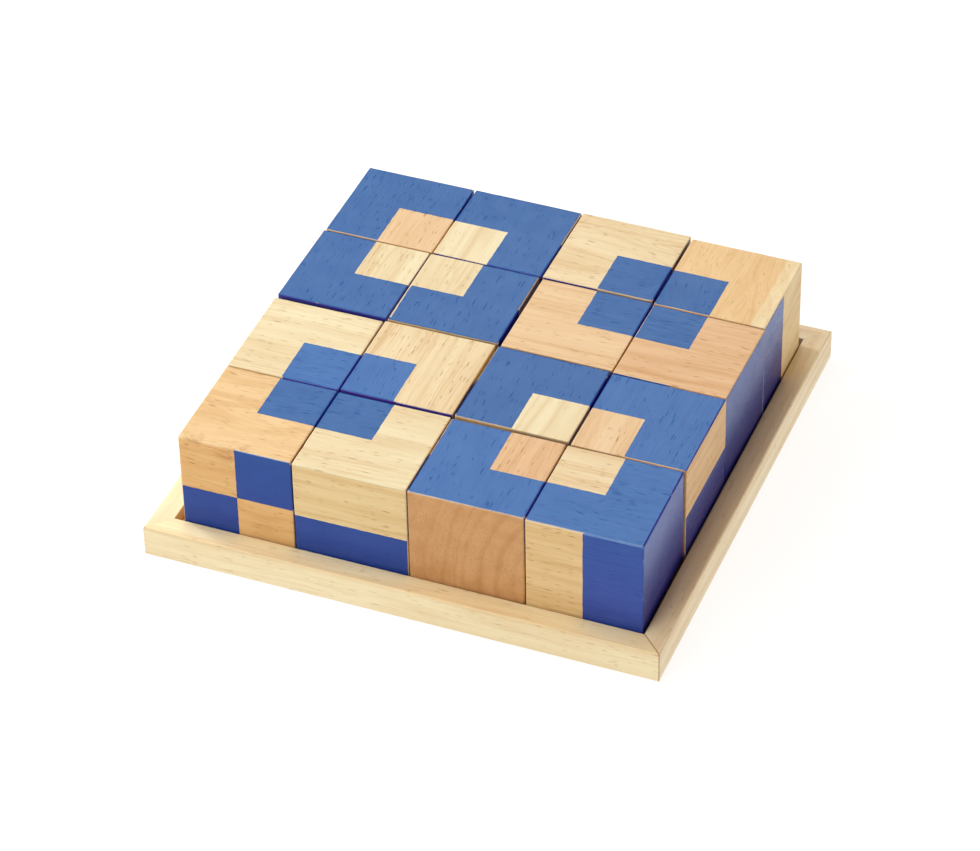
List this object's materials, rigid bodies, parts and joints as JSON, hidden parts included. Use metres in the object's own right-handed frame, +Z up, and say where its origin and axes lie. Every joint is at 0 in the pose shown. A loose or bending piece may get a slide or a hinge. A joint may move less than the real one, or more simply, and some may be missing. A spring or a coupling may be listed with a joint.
{
  "type": "colour cube puzzle board",
  "caption": "Low square wooden tray with mitred rails, holding loose wooden cubes whose faces are natural, blue or split between the two, to be turned and laid as patterns.",
  "frame": {"origin": "on the table, under the middle of the tray", "axes": "+X to the right along the front rail, +Y from the front rail to the rear rail, +Z up"},
  "size_m": [0.1814, 0.1814, 0.0475],
  "materials": {
    "rail_wood": "pale hardwood, sanded and clear satin varnish",
    "panel_ply": "thin plywood, unfinished",
    "natural_wood": "pale hardwood, sanded and clear satin varnish, some faces painted blue",
    "blue_painted_wood": "hardwood with thin satin blue paint that shows the grain, some faces left natural"
  },
  "bodies": {
    "tray": {"rail_front": "rail_wood", "rail_right": "rail_wood", "rail_rear": "rail_wood", "rail_left": "rail_wood", "base_panel": "panel_ply"},
    "cube_a1": {"cube_a1": "natural_wood"},
    "cube_a2": {"cube_a2": "natural_wood"},
    "cube_a3": {"cube_a3": "blue_painted_wood"},
    "cube_a4": {"cube_a4": "blue_painted_wood"},
    "cube_b1": {"cube_b1": "natural_wood"},
    "cube_b2": {"cube_b2": "natural_wood"},
    "cube_b3": {"cube_b3": "blue_painted_wood"},
    "cube_b4": {"cube_b4": "blue_painted_wood"},
    "cube_c1": {"cube_c1": "blue_painted_wood"},
    "cube_c2": {"cube_c2": "blue_painted_wood"},
    "cube_c3": {"cube_c3": "natural_wood"},
    "cube_c4": {"cube_c4": "natural_wood"},
    "cube_d1": {"cube_d1": "blue_painted_wood"},
    "cube_d2": {"cube_d2": "blue_painted_wood"},
    "cube_d3": {"cube_d3": "natural_wood"},
    "cube_d4": {"cube_d4": "natural_wood"}
  },
  "joints": [
    {"name": "cube_a1_lift", "type": "slide", "parent": "tray", "child": "cube_a1", "axis": [0, 0, 1], "range_m": [0, 0.045]},
    {"name": "cube_a2_lift", "type": "slide", "parent": "tray", "child": "cube_a2", "axis": [0, 0, 1], "range_m": [0, 0.045]},
    {"name": "cube_a3_lift", "type": "slide", "parent": "tray", "child": "cube_a3", "axis": [0, 0, 1], "range_m": [0, 0.045]},
    {"name": "cube_a4_lift", "type": "slide", "parent": "tray", "child": "cube_a4", "axis": [0, 0, 1], "range_m": [0, 0.045]},
    {"name": "cube_b1_lift", "type": "slide", "parent": "tray", "child": "cube_b1", "axis": [0, 0, 1], "range_m": [0, 0.045]},
    {"name": "cube_b2_lift", "type": "slide", "parent": "tray", "child": "cube_b2", "axis": [0, 0, 1], "range_m": [0, 0.045]},
    {"name": "cube_b3_lift", "type": "slide", "parent": "tray", "child": "cube_b3", "axis": [0, 0, 1], "range_m": [0, 0.045]},
    {"name": "cube_b4_lift", "type": "slide", "parent": "tray", "child": "cube_b4", "axis": [0, 0, 1], "range_m": [0, 0.045]},
    {"name": "cube_c1_lift", "type": "slide", "parent": "tray", "child": "cube_c1", "axis": [0, 0, 1], "range_m": [0, 0.045]},
    {"name": "cube_c2_lift", "type": "slide", "parent": "tray", "child": "cube_c2", "axis": [0, 0, 1], "range_m": [0, 0.045]},
    {"name": "cube_c3_lift", "type": "slide", "parent": "tray", "child": "cube_c3", "axis": [0, 0, 1], "range_m": [0, 0.045]},
    {"name": "cube_c4_lift", "type": "slide", "parent": "tray", "child": "cube_c4", "axis": [0, 0, 1], "range_m": [0, 0.045]},
    {"name": "cube_d1_lift", "type": "slide", "parent": "tray", "child": "cube_d1", "axis": [0, 0, 1], "range_m": [0, 0.045]},
    {"name": "cube_d2_lift", "type": "slide", "parent": "tray", "child": "cube_d2", "axis": [0, 0, 1], "range_m": [0, 0.045]},
    {"name": "cube_d3_lift", "type": "slide", "parent": "tray", "child": "cube_d3", "axis": [0, 0, 1], "range_m": [0, 0.045]},
    {"name": "cube_d4_lift", "type": "slide", "parent": "tray", "child": "cube_d4", "axis": [0, 0, 1], "range_m": [0, 0.045]}
  ]
}
